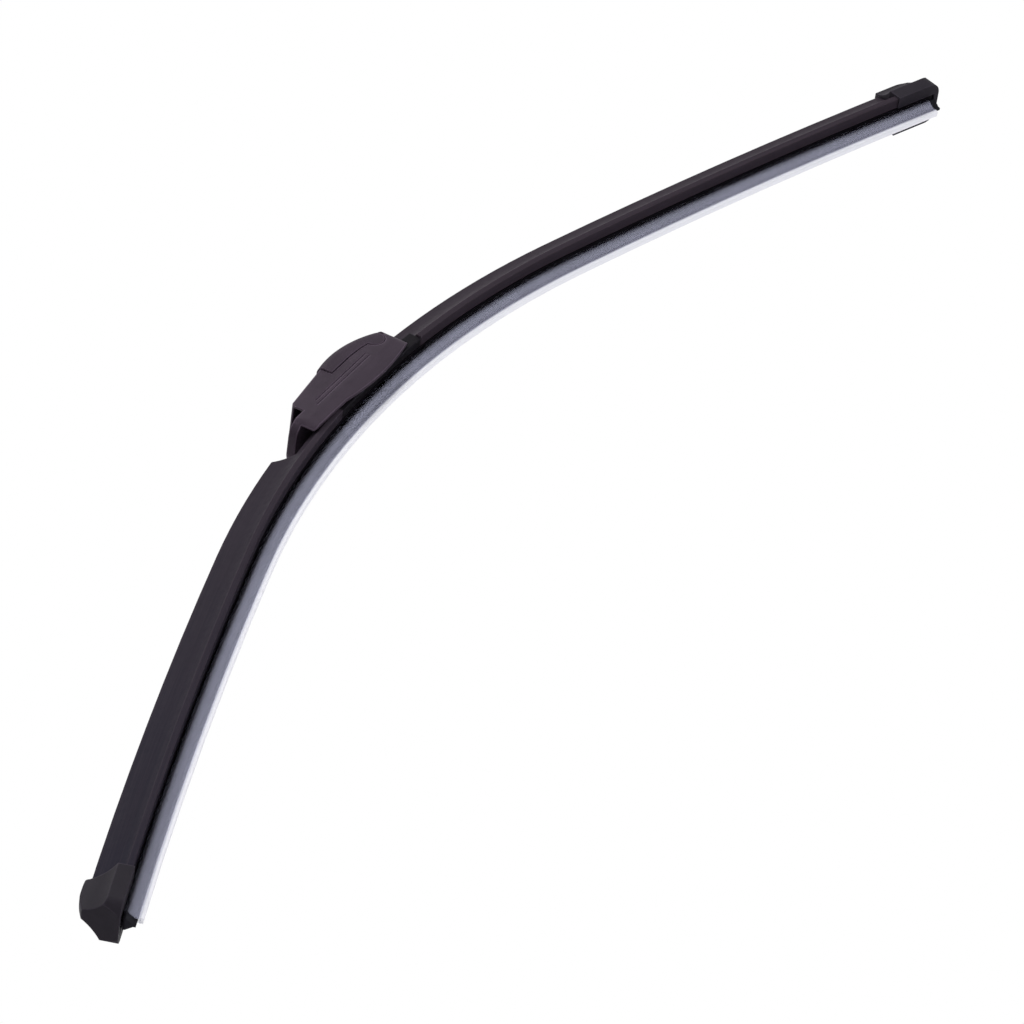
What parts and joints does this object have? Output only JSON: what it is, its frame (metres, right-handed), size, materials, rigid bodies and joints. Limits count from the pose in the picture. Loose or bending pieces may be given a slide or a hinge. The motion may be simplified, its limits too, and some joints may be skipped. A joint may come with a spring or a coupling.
{
  "type": "wiper blade",
  "caption": "Bowed flat windscreen wiper blade with a hollow-flanked rubber spoiler, end caps, a lip cover and a hinged arm adapter with a flip cover.",
  "frame": {"origin": "centre of the pivot axis, inside the core that the wiper arm's hook wraps round", "axes": "+X along the blade towards its end beyond the flip cover, +Z away from the glass, Y across the blade"},
  "size_m": [0.5778, 0.019, 0.0988],
  "materials": {
    "spoiler_rubber": "matt extruded rubber",
    "spring_steel": "bright rolled spring steel",
    "wiping_rubber": "matt black with a graphite bloom",
    "cover_plastic": "translucent grey, slightly glossy",
    "cap_plastic": "satin moulded plastic",
    "base_plastic": "satin moulded plastic",
    "pin_steel": "drawn steel",
    "adapter_plastic": "fine-textured moulded plastic",
    "core_plastic": "satin moulded plastic"
  },
  "bodies": {
    "adapter": {"adapter_housing": "adapter_plastic", "hook_core": "core_plastic"},
    "blade": {"connector_base": "base_plastic", "pivot_pin": "pin_steel", "spoiler_left": "spoiler_rubber", "spoiler_right": "spoiler_rubber", "rail_near": "spring_steel", "rail_far": "spring_steel", "wiper_rubber": "wiping_rubber", "lip_cover": "cover_plastic", "end_cap_left": "cap_plastic", "end_cap_right": "cap_plastic"},
    "cover": {"adapter_cover": "adapter_plastic"}
  },
  "joints": [
    {"name": "blade_pivot", "type": "hinge", "parent": "adapter", "child": "blade", "pos_m": [0, 0, 0], "axis": [0, 1, 0], "range_deg": [-4, 4]},
    {"name": "cover_hinge", "type": "hinge", "parent": "adapter", "child": "cover", "pos_m": [0.0155, 0, 0.0013], "axis": [0, 1, 0], "range_deg": [0, 80]}
  ]
}
